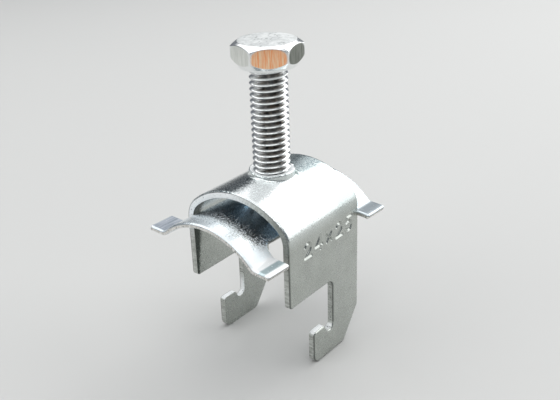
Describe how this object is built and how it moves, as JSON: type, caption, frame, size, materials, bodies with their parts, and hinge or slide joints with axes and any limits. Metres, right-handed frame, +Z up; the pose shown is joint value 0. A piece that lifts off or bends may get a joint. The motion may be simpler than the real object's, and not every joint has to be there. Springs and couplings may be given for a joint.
{
  "type": "channel clamp",
  "caption": "Cable clamp for slotted channel: a folded steel arch with hooked legs, and a hex-head screw that presses a curved pan down inside it.",
  "frame": {"origin": "on the surface the clamp stands on, under the middle of the pressure pan, which is the middle of the clamp's outline; the screw's axis is 0.9 mm to its +X side", "axes": "+Z up along the screw, towards its head; +Y along the tunnel, with the hooks opening towards -Y; +X across the tunnel"},
  "size_m": [0.0345, 0.0412, 0.0694],
  "materials": {
    "bracket_zinc": "bright zinc plating on stamped steel sheet",
    "pan_zinc": "bright zinc plating on stamped steel sheet",
    "screw_zinc": "bright zinc plating on a rolled screw"
  },
  "bodies": {
    "bracket": {"bracket": "bracket_zinc"},
    "pan": {"pressure_pan": "pan_zinc"},
    "screw": {"hex_screw": "screw_zinc"}
  },
  "joints": [
    {"name": "pan_slide", "type": "slide", "parent": "bracket", "child": "pan", "axis": [0, 0, 1], "range_m": [-0.02125, 0.00063]},
    {"name": "screw_turn", "type": "hinge", "parent": "pan", "child": "screw", "pos_m": [0.0009, 0, 0], "axis": [0, 0, 1], "range_deg": [-6120, 180]}
  ],
  "couplings": [
    {"joint": "pan_slide", "follows": "screw_turn", "m_per_rad": 0.00019894}
  ]
}
